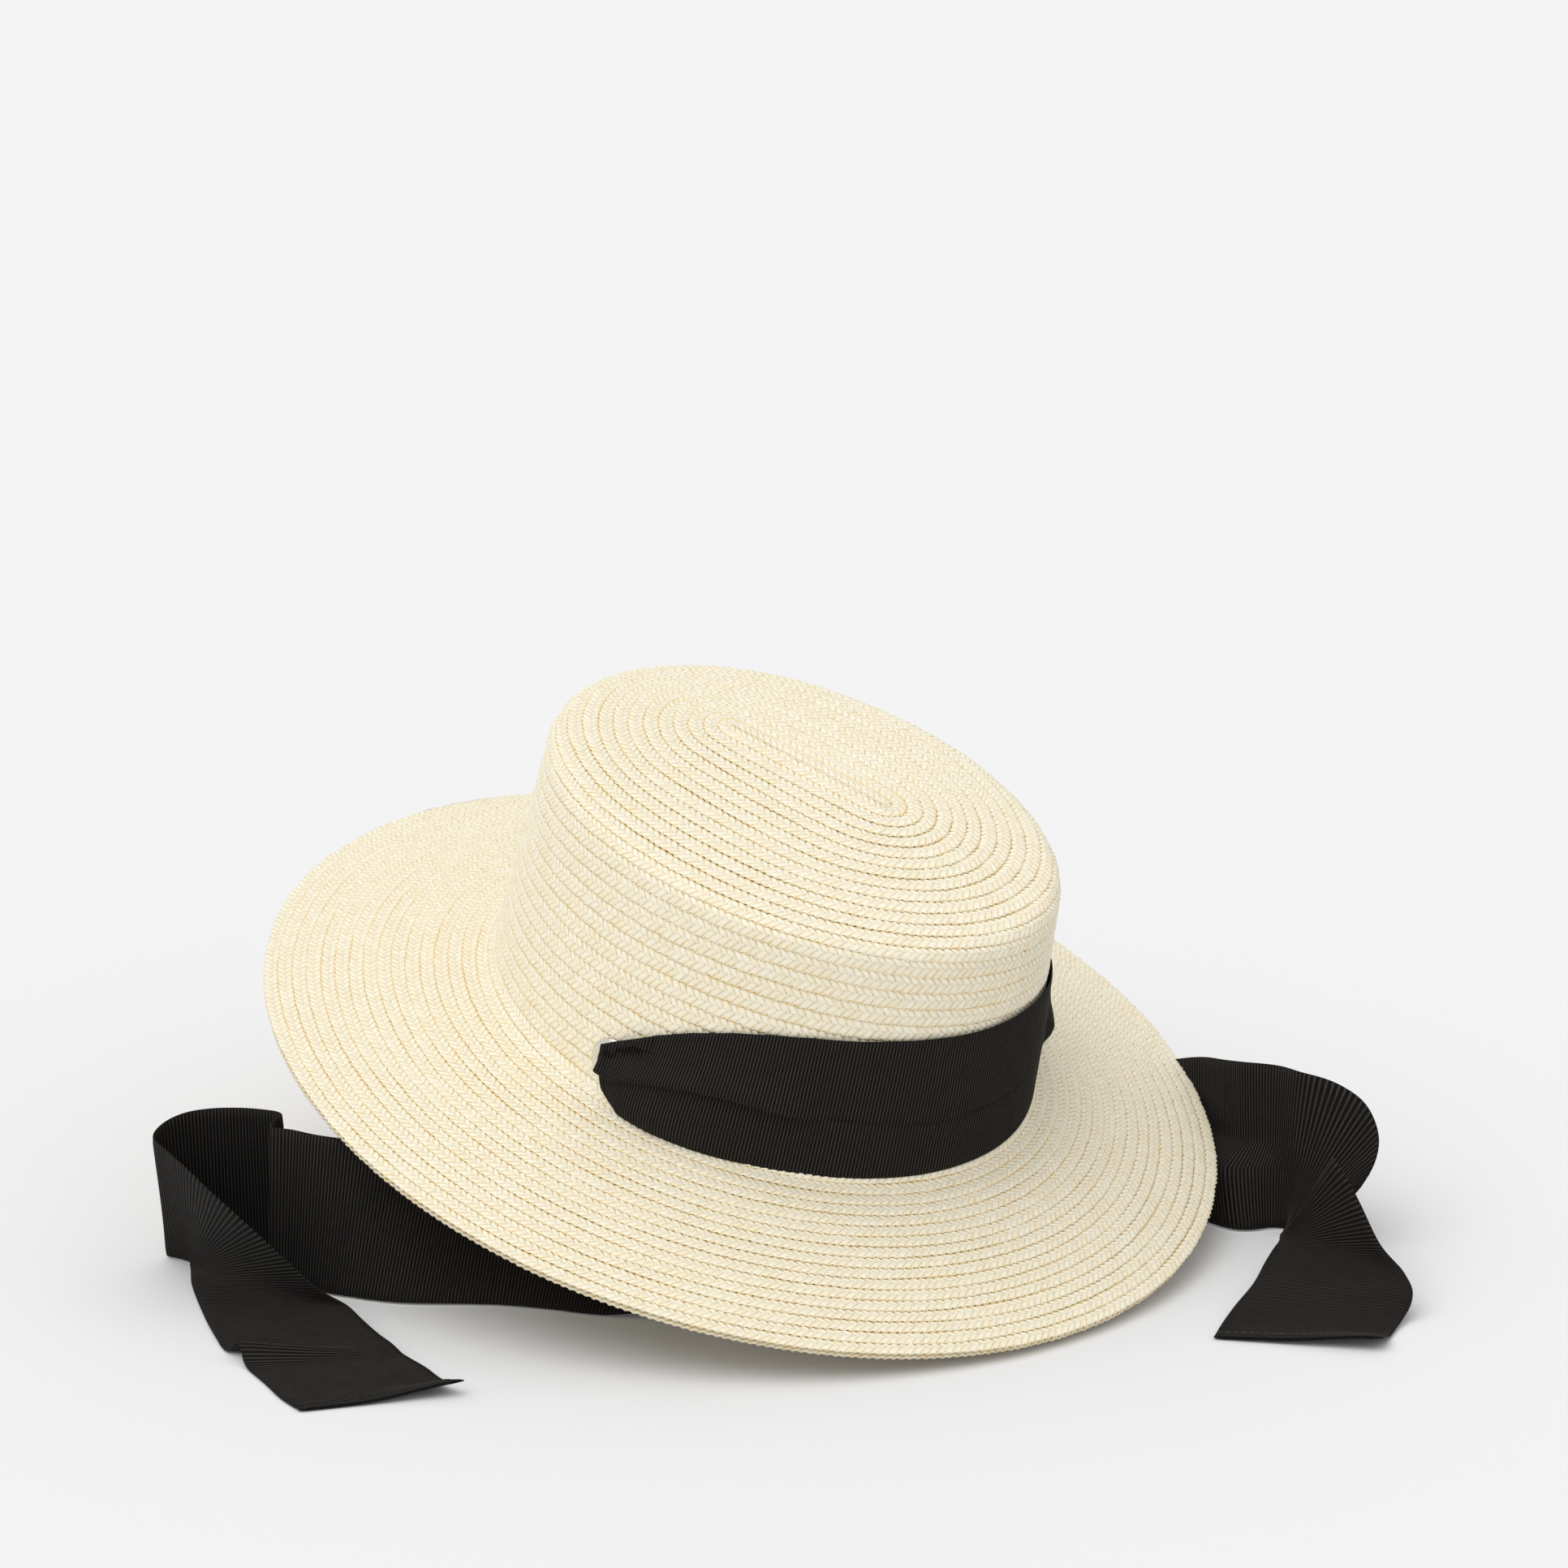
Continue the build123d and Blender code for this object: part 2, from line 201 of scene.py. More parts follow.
def stitch_piece(name, places, along, out, length, radius):
    """Short rounded stitches, each a closed capsule that lies on a face and bows away from it."""
    share = np.array([-0.5, -0.42, -0.2, 0.2, 0.42, 0.5])
    size = np.array([0.15, 0.75, 1, 1, 0.75, 0.15])
    rings, ring = len(share), 6
    turn = np.linspace(0, TAU, ring, endpoint=False)
    points, quads, caps = [], [], []
    for place, ahead, away in zip(places, along, out):
        bow = radius * (1 - (2 * share) ** 2) - radius * 0.4
        middle = place + ahead * (share * length)[:, None] + away * bow[:, None]
        circle = np.cos(turn)[:, None] * np.cross(away, ahead) + np.sin(turn)[:, None] * away
        first = len(points) * rings * ring
        last = first + (rings - 1) * ring
        points.append((middle[:, None] + size[:, None, None] * radius * circle).reshape(-1, 3))
        quads.append(ring_quads(rings, ring, first))
        caps += [[first + i for i in range(ring)], [last + i for i in reversed(range(ring))]]
    return new_object(name, make_mesh(name, np.concatenate(points), np.concatenate(quads), None, caps))


# ---------------------------------------------------------------- the hat's outer face
def oval(axes, angle):
    return np.stack([axes[..., 0] * np.cos(angle), axes[..., 1] * np.sin(angle)], -1)


def at_height(points, z):
    """Plan points set at one height."""
    return np.concatenate([points, np.full(points.shape[:-1] + (1,), z)], -1)


def rows_tip(angle):
    """How many rows lie between the start of the spiral and the tip's corner."""
    return TIP_ROWS + TIP_ROWS_MORE * np.cos(angle - TIP_ROWS_AT)


def taper(turn):
    return smooth((turn - TAPER_START) / TAPER)


def bend(a, corner, b, t):
    """Point of a curve from a to b that rounds a corner."""
    t = t[..., None]
    return (1 - t) ** 2 * a + 2 * (t * (1 - t)) * corner + t ** 2 * b


def surface(phi, rows):
    """Point of the hat's outer face: phi is the turn from the back, rows the count from the start."""
    angle = phi + math.pi
    turn = np.mod(phi, TAU) / TAU
    tip_plan = oval(TOP, angle)
    reach = ((tip_plan - START_MIDDLE) @ START_HALF) / (START_HALF @ START_HALF)
    reach = reach / (1 + np.abs(reach) ** 5) ** 0.2
    corners = (
        at_height(START_MIDDLE + START_HALF * reach[..., None], CROWN_HEIGHT),
        at_height(tip_plan, CROWN_HEIGHT),
        at_height(oval(BASE, angle), 0.0),
        at_height(oval(EDGE, angle) + (EDGE_SHIFT, 0), -BRIM_DROP),
    )
    edge_row = ROWS_EDGE + turn - taper(turn)
    bounds = (np.zeros(phi.shape), rows_tip(angle), np.full(phi.shape, ROWS_BASE), edge_row)
    at = np.clip(rows, 0, edge_row + 2)

    out = np.zeros(phi.shape + (3,))
    for s in range(3):
        share = (at - bounds[s]) / (bounds[s + 1] - bounds[s])
        inside = (share >= 0) & ((share <= 1) | (s == 2))
        out = np.where(inside[..., None], corners[s] + (corners[s + 1] - corners[s]) * share[..., None], out)
    out[..., 2] += TIP_DOME * (1 - np.clip(at / bounds[1], 0, 1) ** 2)

    for s, cut in ((1, TIP_CORNER), (2, BRIM_CORNER)):
        before, here, after = corners[s - 1], corners[s], corners[s + 1]
        share_in = cut / np.linalg.norm(here - before, axis=-1)
        share_out = cut / np.linalg.norm(after - here, axis=-1)
        rows_in = share_in * (bounds[s] - bounds[s - 1])
        rows_out = share_out * (bounds[s + 1] - bounds[s])
        past = at - bounds[s]
        t = np.where(past < 0, 0.5 * (past + rows_in) / rows_in, 0.5 + 0.5 * past / rows_out)
        start = here + (before - here) * share_in[..., None]
        if s == 1:
            start[..., 2] += TIP_DOME * (1 - (1 - share_in) ** 2)
        stop = here + (after - here) * share_out[..., None]
        near = (t > 0) & (t < 1)
        out = np.where(near[..., None], bend(start, here, stop, np.clip(t, 0, 1)), out)
    return out


def surface_normal(phi, rows):
    """Outward direction of the hat's outer face, from small steps along and across the rows."""
    step, row_step = 0.004, 0.06
    low = np.maximum(rows - row_step, 0.02)
    level = np.maximum(rows, 0.3)
    across = surface(phi, low + 2 * row_step) - surface(phi, low)
    along = surface(phi + step, level) - surface(phi - step, level)
    return -unit(np.cross(along, across))


def wall_point(angle, height, out):
    """Point beside the crown's outer face; angle in radians from the front, height and out in mm."""
    angle, height, out = np.broadcast_arrays(angle, height, out)
    share = height / CROWN_HEIGHT
    axes = BASE + (TOP - BASE) * share[..., None]
    away = unit(np.stack([np.cos(angle) / axes[..., 0], np.sin(angle) / axes[..., 1]], -1))
    return np.concatenate([oval(axes, angle) + away * out[..., None], height[..., None]], -1)


# ---------------------------------------------------------------- the eyelets' places
def eyelet_in_hat(side):
    """Centre and outward axis of an eyelet in the hat's frame; side is 1 on the left, -1 on the right."""
    half = BASE - (BASE - TOP) * EYELET_HEIGHT / CROWN_HEIGHT
    y = half[1] * math.sqrt(1 - (EYELET_FORWARD / half[0]) ** 2)
    out = unit(np.array([EYELET_FORWARD / half[0] ** 2, side * y / half[1] ** 2, 0]))
    slope = (BASE - TOP)[1] / CROWN_HEIGHT
    return np.array([EYELET_FORWARD, side * y, EYELET_HEIGHT]), unit(out + np.array([0, 0, slope]))


def eyelet_frame(side):
    """Centre and outward axis of an eyelet in the row frame."""
    place, axis = eyelet_in_hat(side)
    return from_hat(place), axis @ hat_axes


def cut_holes(obj):
    """Takes the points out of a mesh where the two eyelets pass through it."""
    reach = 12
    mesh = obj.data
    co = np.zeros(len(mesh.vertices) * 3, np.float32)
    mesh.vertices.foreach_get("co", co)
    co = co.reshape(-1, 3)
    inside = np.zeros(len(co), bool)
    for side in (-1, 1):
        place, axis = eyelet_frame(side)
        along = (co - place) @ axis
        off = np.linalg.norm(co - place - along[:, None] * axis, axis=1)
        inside |= (off < HOLE * MM) & (np.abs(along) < reach * MM)
    if inside.any():
        bm = bmesh.new()
        bm.from_mesh(mesh)
        bm.verts.ensure_lookup_table()
        bmesh.ops.delete(bm, geom=[bm.verts[i] for i in np.nonzero(inside)[0]], context="VERTS")
        bm.to_mesh(mesh)
        bm.free()


# ---------------------------------------------------------------- the sewn spiral of straw braid
# Points across the braid, from its inner edge at -1 to its outer edge at 1, and back underneath.
TOP_Y = np.array([-1, -0.86, -0.62, -0.34, -0.06, 0.06, 0.34, 0.62, 0.86, 1.0])
UNDER_Y = np.array([0.8, 0.3, -0.3, -0.8])
# How far a row slips under the next one, and how far a straw slants on its half of the braid.
OVERLAP = 0.14
SLANT = 0.95
# Heights in mm: a straw's round back, one straw above the next, the middle above the edges, and
# the lean of the braid over the row before it.
RIDGE, LOOSE, CROWNING, SINK, LEAN = 0.70, 0.22, 0.30, -0.50, 0.32
# Sideways play of the outer edge in rows: the teeth of the plait, and loose straws.
TEETH, STRAY = 0.085, 0.07


def plait_cell(along, y):
    """Which straw of the plait a point lies on, as a running number, and how far across it."""
    q = along + SLANT * np.abs(y) + 0.5 * (y > 0)
    return np.floor(q), q - np.floor(q)


def chance_of(number):
    """A number between 0 and 1 that looks random and is always the same for the same straw."""
    value = np.sin(number * 12.9898) * 43758.5453
    return value - np.floor(value)


# For each turn, its length and how far along it each of the sampled angles lies.
samples = np.linspace(0, TAU, 721)
turn_lengths, turn_tables = [], []
for k in range(-1, LAST):
    line = surface(samples, np.maximum(k + 0.5 + samples / TAU, 0.4))
    steps = np.linalg.norm(np.diff(line, axis=0), axis=1)
    turn_tables.append(np.concatenate([[0], np.cumsum(steps)]))
    turn_lengths.append(steps.sum())
turn_starts = np.concatenate([[0], np.cumsum(turn_lengths)])


def braid_rows(k, turn, along, y, loose, edge_row):
    """The row number of each point of turn k, with the braid's wobble and the teeth of its edge."""
    row_in = np.maximum(k - OVERLAP, -turn)
    row_out = np.minimum(k + 1.0, ROWS_EDGE - taper(turn))
    wobble = (0.03 * np.sin(along * 0.21 + k) + 0.025 * np.sin(along * 0.057 + 2.1 * k)) * (y + 1) / 2
    if edge_row:
        row_in = row_out - 1 - OVERLAP
        wobble = 0
    row_out = np.maximum(row_out, row_in + 0.05)
    teeth = (TEETH * zigzag(along + SLANT + 0.25) + STRAY * loose) * smooth((y - 0.6) / 0.3)
    rows = row_in[:, None] + (row_out - row_in)[:, None] * (y + 1) / 2 + turn[:, None] + wobble + teeth
    return np.maximum(rows, 0.0)


def braid_rise(k, turn, y, f, loose, top):
    """Height of each point of turn k above the hat's face, in mm."""
    off = np.abs(y)
    ridge = 1 - np.abs(2 * f - 1) ** 2.0
    arch = 1 - 0.75 * np.clip(off - 0.2, 0, 1) ** 1.5
    relief = (RIDGE * (ridge - 0.55) * arch + LOOSE * loose) * (1 - 0.5 * off ** 10)
    leaning = y if k > 0 else y * (0.5 + 0.5 * k) * turn[:, None]
    tilt = SINK + LEAN * leaning
    edge = 1 - off ** 6
    under = tilt - STRAW * (0.35 + 0.65 * edge) + 0.6 * relief
    return np.where(top, tilt + relief + CROWNING * edge, under)


def braid(name, first, last, edge_row=False):
    """The turns of the spiral from first up to last, as one strip with its straws in relief."""
    drop = EDGE_ROW_DROP if edge_row else 0.0
    ring = np.concatenate([TOP_Y, UNDER_Y])
    top = np.arange(len(ring)) < len(TOP_Y)
    grids, alongs, acrosses = [], [], []
    for k in range(first, last):
        length = turn_lengths[k + 1]
        count = max(24, int(length / COLUMN))
        run = np.linspace(0, length, count + 1)
        if k < last - 1:
            run = run[:-1]
        phi = np.interp(run, turn_tables[k + 1], samples)
        turn = phi / TAU
        y = np.broadcast_to(ring, (len(phi), len(ring)))
        along = np.broadcast_to((turn_starts[k + 1] + run)[:, None] / PLAIT, y.shape)
        cell, f = plait_cell(along, y)
        loose = chance_of(cell) - 0.5
        rows = braid_rows(k, turn, along, y, loose, edge_row)
        rise = braid_rise(k, turn, y, f, loose, top) - drop
        angles = np.broadcast_to(phi[:, None], y.shape)
        grids.append(surface(angles, rows) + surface_normal(angles, rows) * rise[..., None])
        alongs.append(along)
        acrosses.append(np.where(top, y, -y))
    grid = from_hat(np.concatenate(grids))
    return new_object(name, tube_mesh(name, grid, np.concatenate(alongs), np.concatenate(acrosses)))


# ---------------------------------------------------------------- ribbon
# Points across a loose end, and mesh columns along each of its ribs.
ACROSS = 17
COLUMNS_PER_RIB = 4
# Pleats of the gathered ribbon, and the distance from its start where they have opened out.
PLEATS = 4
PLEATS_END = 130
# Inside the crown: how far in from the eyelet the first two stations of a loose end lie, how far
# forward of its axis, and how wide the bundle is there.
INSIDE = (6.5, 14)
INSIDE_FORWARD = 4.0
BUNDLE = 8.0
# Length of the hem, how high its corner curls up and over what length, and its rows of stitches in
# ribs from the ribbon's end.
HEM = 4.2
CURL, CURL_LENGTH = 2.6, 11
HEM_ROWS = (3.9, 2.6)
HEM_STITCH, HEM_THREAD = 1.7, 0.17
# Least heights above the floor: the stations, the cloth's low face and the bottoms of its ribs.
STATION_LIFT, CLOTH_LIFT, RIB_LIFT = 0.5, 0.18, 0.03


def middle_of(path):
    """The ribbon's middle line from rows of (low edge, direction across, width)."""
    return path[:, :3] + path[:, 3:6] * path[:, 6:7] * 0.5


def smooth_path(stations):
    """A smooth curve through the stations, and how far along its middle line each point lies."""
    p = np.asarray(stations, float)
    p = np.vstack([2 * p[0] - p[1], p, 2 * p[-1] - p[-2]])
    middle = middle_of(p)
    t = np.linspace(0, 1, 40, endpoint=False)[:, None]
    dense = []
    for i in range(1, len(p) - 2):
        g0, g1, g2 = [max(np.linalg.norm(middle[i + j] - middle[i + j - 1]), 1e-6) ** 0.5 for j in (0, 1, 2)]
        here, there = p[i], p[i + 1]
        chord = there - here
        m1 = chord + g1 * ((here - p[i - 1]) / g0 - (there - p[i - 1]) / (g0 + g1))
        m2 = chord + g1 * ((p[i + 2] - there) / g2 - (p[i + 2] - here) / (g1 + g2))
        dense.append((((m1 + m2 - 2 * chord) * t + 3 * chord - 2 * m1 - m2) * t + m1) * t + here)
    dense = np.vstack(dense + [p[-2:-1]])
    return dense, run_of(middle_of(dense))


def run_of(line):
    """Distance along a line of points, at each of them."""
    return np.concatenate([[0], np.cumsum(np.linalg.norm(np.diff(line, axis=0), axis=1))])


def across_line(heading, climb):
    """Direction from the ribbon's low edge to its high edge, from a heading and a climb in degrees."""
    h, c = math.radians(heading), math.radians(climb)
    return [math.cos(c) * math.cos(h), math.cos(c) * math.sin(h), math.sin(c)]


def line_normals(lines):
    return unit(np.cross(np.gradient(lines, axis=1), np.gradient(lines, axis=0)))


def ribbon_grid(lines, distance, thick):
    """Closed grid of a ribbon with its ribs, from columns x points across x 3, in mm."""
    rib = RIB_HEIGHT * np.cos(TAU * distance / RIB)[:, None, None]
    edge = np.ones(lines.shape[1])
    edge[[0, -1]] = 0.35
    half = (thick[:, None] / 2 * edge)[..., None] + rib * edge[None, :, None]
    away = line_normals(lines) * half
    return np.concatenate([lines + away, (lines - away)[:, ::-1]], 1)


def pleats(width):
    """Height of the pleats of a ribbon gathered to a width, at each point across it."""
    share = np.linspace(0, 1, ACROSS)
    side, base = RIBBON_WIDTH / (2 * PLEATS), width / (2 * PLEATS)
    rise = np.sqrt(np.maximum(side ** 2 - base ** 2, 0))
    return rise[:, None] * zigzag(share * PLEATS)[None, :] * 0.5


def shelf_fold(lines, normals, distance, shelf):
    """Pushes the low half of a ribbon aside between two distances, which leaves a lengthwise fold."""
    start, stop, depth = shelf
    share = np.linspace(0, 1, ACROSS)
    spread = smooth((distance - start) / 25) * smooth((stop - distance) / 25)
    low_half = 1 - smooth((share - 0.36) / 0.14)
    level = unit(normals * np.array([1.0, 1.0, 0.0]), 0.3)
    return lines - level * (depth * spread[:, None] * low_half)[..., None]


def tie(name, side, stations, shelf=None):
    """A loose end of the ribbon, from inside its eyelet to its hem: object, lines and length."""
    place, axis = eyelet_frame(side)
    rows = []
    for inward in INSIDE:
        x, y, z = (place - axis * inward * MM - below_centre) / MM
        rows.append([x + INSIDE_FORWARD, y, z, -1, 0, 0, BUNDLE])
    for x, y, z, heading, climb, width in stations:
        rows.append([x, y, z + STATION_LIFT] + across_line(heading, climb) + [width])
    dense, run = smooth_path(rows)
    length = run[-1]
    distance = np.linspace(0, length, int(length / RIB * COLUMNS_PER_RIB))
    path = np.stack([np.interp(distance, run, dense[:, c]) for c in range(dense.shape[1])], -1)
    low, across, width = path[:, :3], unit(path[:, 3:6]), path[:, 6]

    share = np.linspace(0, 1, ACROSS)
    lines = low[:, None] + across[:, None] * (width[:, None] * share)[..., None]
    normals = line_normals(lines)
    gathered = smooth((PLEATS_END - distance) / 30)[:, None]
    lines = lines + normals * (pleats(width) * gathered)[..., None]
    if shelf:
        lines = shelf_fold(lines, normals, distance, shelf)
    at_end = smooth((distance - (length - CURL_LENGTH)) / CURL_LENGTH)[:, None]
    lines[..., 2] += CURL * at_end * smooth((share - 0.35) / 0.6)
    along = distance[:, None]
    wave = 0.5 * np.sin(along / 23 + 3 * share) + 0.3 * np.sin(along / 9.3 + 5 * share)
    lines = lines + normals * (wave * 0.5)[..., None]

    thick = RIBBON * (1 + 0.9 * smooth((distance - (length - HEM)) / 0.5))
    lines[..., 2] = np.maximum(lines[..., 2], thick[:, None] / 2 + CLOTH_LIFT)
    grid = ribbon_grid(lines, distance, thick)
    grid[..., 2] = np.maximum(grid[..., 2], RIB_LIFT)
    whole = np.concatenate([share, share[::-1]]) * RIBBON_WIDTH
    return new_object(name, tube_mesh(name, from_floor(grid), along, whole)), lines, length


def hem_stitches(name, lines):
    """Two rows of stitches across the end of a loose end, on its upper side."""
    normal = line_normals(lines)
    spots, ahead, out = [], [], []
    for ribs in HEM_ROWS:
        column = -int(ribs * COLUMNS_PER_RIB)
        row, facing = lines[column], normal[column]
        if facing[:, 2].mean() < 0:
            facing = -facing
        for share in np.arange(0.03, 0.97, 0.045):
            at = share * (ACROSS - 1)
            i = int(at)
            step = row[i + 1] - row[i]
            spots.append(from_floor(row[i] + step * (at - i) + facing[i] * 0.62))
            ahead.append(step)
            out.append(facing[i])
    ahead = unit(np.array(ahead))
    return stitch_piece(name, np.array(spots), ahead, np.array(out), HEM_STITCH * MM, HEM_THREAD * MM)


# ---------------------------------------------------------------- the ribbon's band
# Lines along the band: (degrees from its eyelet, mm) for its top edge, low edge and fold, and how
# far it bulges. The lean is (height in mm, degrees) and gives the band's end its round outline.
BAND_TOP = [
    (0, 19.8), (3, 23.9), (9.6, 31.6), (17.6, 39.2), (25.6, 44.8), (33.5, 48.6), (41.6, 51.0),
    (58.8, 53.5), (70, 54.2), (85, 54.2),
]
BAND_LOW = [
    (0, 5.0), (0.7, 3.2), (2.2, 1.7), (4.5, 0.7), (7.5, 0.0), (15, -0.3), (24, -0.2), (40, 0.6),
    (60, 1.4), (85, 1.8),
]
BAND_FOLD = [
    (0, 11.0), (3.3, 11.2), (6.1, 12.4), (12, 16.8), (20.3, 21.4), (28.5, 23.9), (37, 23.4),
    (50, 22), (85, 22),
]
BAND_BULGE = [(0, 0.4), (6, 2.2), (14, 3.0), (24, 2.2), (36, 0.8), (50, 0.0), (85, 0)]
BAND_LEAN = [(0, 4.2), (3, 3.4), (5, 2.7), (8, 1.8), (11, 1.1), (16, 0.3), (20, 0)]
# Degrees from the front to each end of the band, and the number of its mesh columns.
BAND_REACH = 84.0
BAND_COLUMNS = 1300
# Points across the band's three layers: below the fold, back inside it, and above it; and the
# point, in the upper layer, along which the band's length is measured.
LAYERS = (12, 6, 15)
MEASURED = 22
# In the eyelet: height of the pleated bundle, depth of its pleats, how far forward it sits, and how
# far in it goes.
BUNDLE_HEIGHT, PLEAT_DEPTH, BUNDLE_FORWARD, BUNDLE_IN = 8.4, 2.2, 1.1, 11.5


def read_line(line, at):
    return np.interp(at, [p[0] for p in line], [p[1] for p in line])


def soft_line(line, at):
    """A line along the band with its corners rounded off."""
    near = 4
    kernel = np.ones(2 * near + 1) / (2 * near + 1)
    return np.convolve(np.pad(read_line(line, at), near, mode="edge"), kernel, mode="valid")


def band_heights(degrees, from_eyelet):
    """Heights of the band's low edge, fold and top edge, and how deep the cloth goes into the fold."""
    top, low, fold = [soft_line(line, from_eyelet) for line in (BAND_TOP, BAND_LOW, BAND_FOLD)]
    top = top - 2.5 * smooth((degrees - 10) / 40) * smooth((from_eyelet - 15) / 30)
    spare = (RIBBON_WIDTH * 0.985 - (top - low)) / 2
    depth = np.clip(spare, 0, np.maximum(top - fold - 3, 0)) * smooth((52 - from_eyelet) / 12) + 0.12
    return low, fold, top, depth


def band_out(s, one, two, total, bulge, folded_here):
    """How far each point of the band stands off the crown."""
    hollow = np.clip(s / np.maximum(one, 1), 0, 1)
    climb = np.clip((s - two) / np.maximum(total - two, 1), 0, 1)
    below = 1.0 + bulge * (1.1 * np.sin(np.pi * hollow ** 0.6) + 0.6 * (1 - hollow))
    above = 1.2 + (4.3 + 0.5 * bulge) * (1 - climb) ** 2.2
    folded = np.where(s < one, below, np.where(s < two, 1.9, above))
    plain = 1.15 + bulge * np.sin(np.pi * s / total) * 0.4
    out = folded * folded_here + plain * (1 - folded_here)
    pad = np.pad(out, ((0, 0), (1, 1)), mode="edge")
    return pad[:, :-2] * 0.25 + pad[:, 1:-1] * 0.5 + pad[:, 2:] * 0.25


def into_eyelet(side, line, share):
    """Lines that lead from an end of the band, pleated, through its eyelet."""
    place, axis = eyelet_in_hat(side)
    forward = unit(np.array([1, 0, 0]) - axis * axis[0])
    upward = np.cross(axis, forward)
    upward = upward * np.sign(upward[2])
    bundle = place + upward * ((share - 0.5) * BUNDLE_HEIGHT)[:, None]
    bundle = bundle + forward * (zigzag(share * PLEATS) * PLEAT_DEPTH + BUNDLE_FORWARD)[:, None]
    lines = []
    for t in np.linspace(0, 1, 34)[1:]:
        near = smooth(t * 1.4 - 0.05)
        mixed = line * (1 - near) + (bundle + axis * 2.2) * near
        bow = 0.6 * math.sin(math.pi * min(1, t * 3))
        lines.append(mixed - axis * (BUNDLE_IN * smooth(t * 0.9)) + forward * bow)
    return np.array(lines)


def band(name):
    """The ribbon round the front of the crown, gathered into the eyelets at its two ends."""
    degrees = np.linspace(-BAND_REACH, BAND_REACH, BAND_COLUMNS)
    from_eyelet = BAND_REACH - np.abs(degrees)
    low, fold, top, depth = [v[:, None] for v in band_heights(degrees, from_eyelet)]
    bulge = soft_line(BAND_BULGE, from_eyelet)[:, None]
    one = fold + depth - low
    two = one + depth
    total = np.stack([one, depth, top - fold], -1).sum(-1)
    below, inside, above = LAYERS
    s = np.concatenate([
        one * np.linspace(0, 1, below, endpoint=False),
        one + (two - one) * np.linspace(0, 1, inside, endpoint=False),
        two + (total - two) * np.linspace(0, 1, above),
    ], 1)
    share = s[0] / total[0]
    z = np.where(s < one, low + s, np.where(s < two, fold + depth - (s - one), fold + (s - two)))
    angle = np.radians(degrees)[:, None]
    out = band_out(s, one, two, total, bulge, smooth((depth - 0.2) / 2.5))
    out = out + 0.25 * np.sin(angle * 9 + share * 4) * np.sin(np.pi * share) + 0.2
    out = np.maximum(out, 2.5 * smooth((13 - from_eyelet) / 4)[:, None])
    lean = np.radians(read_line(BAND_LEAN, z)) * smooth((9 - from_eyelet) / 9)[:, None]
    lines = wall_point(angle - np.sign(angle) * lean, z, out)

    right, left = into_eyelet(-1, lines[0], share), into_eyelet(1, lines[-1], share)
    lines = np.concatenate([right[::-1], lines, left])
    s = np.concatenate([np.repeat(s[:1], len(right), 0), s, np.repeat(s[-1:], len(left), 0)])
    run = run_of(lines[:, MEASURED])
    grid = ribbon_grid(lines, run, np.full(len(lines), RIBBON))
    mesh = tube_mesh(name, from_hat(grid), run[:, None], np.concatenate([s, s[:, ::-1]], 1))
    return new_object(name, mesh), run[-1]


# ---------------------------------------------------------------- sweatband
def sweatband(name):
    """A tape laid round the inside of the crown's base, with its ends overlapping at the back."""
    turn = math.pi + np.radians(np.linspace(0, SWEATBAND_TURN, 1400))[:, None]
    y = np.linspace(0, 1, 9)
    overlap = 0.9 * smooth((turn - turn[-1] + 0.06) / 0.03)
    wave = 0.35 * np.sin(turn * 7) * y ** 2
    layers = []
    for thick, order in ((0.0, y), (SWEATBAND_THICK, y[::-1])):
        inward = SWEATBAND_INSIDE + thick + overlap + (0.35 + wave) * order ** 2
        layers.append(wall_point(turn, SWEATBAND_LIFT + SWEATBAND * order, -inward))
    grid = from_hat(np.concatenate(layers, 1))
    run = run_of(grid[:, 0]) / MM
    mesh = tube_mesh(name, grid, run[:, None], np.concatenate([y, y[::-1]]) * SWEATBAND)
    return new_object(name, mesh), run[-1]


def sweatband_stitches(name):
    """A ring of stitches that hold the sweatband's low edge."""
    count, height, depth = 150, 3.5, 4.0
    turn = np.linspace(0, TAU, count, endpoint=False)
    spots = from_hat(wall_point(turn, height, -depth))
    ahead = from_hat(wall_point(turn + 0.004, height, -depth)) - spots
    inward = from_hat(wall_point(turn, height, -depth - 1)) - spots
    return stitch_piece(name, spots, unit(ahead), unit(inward), 2.6 * MM, 0.22 * MM)


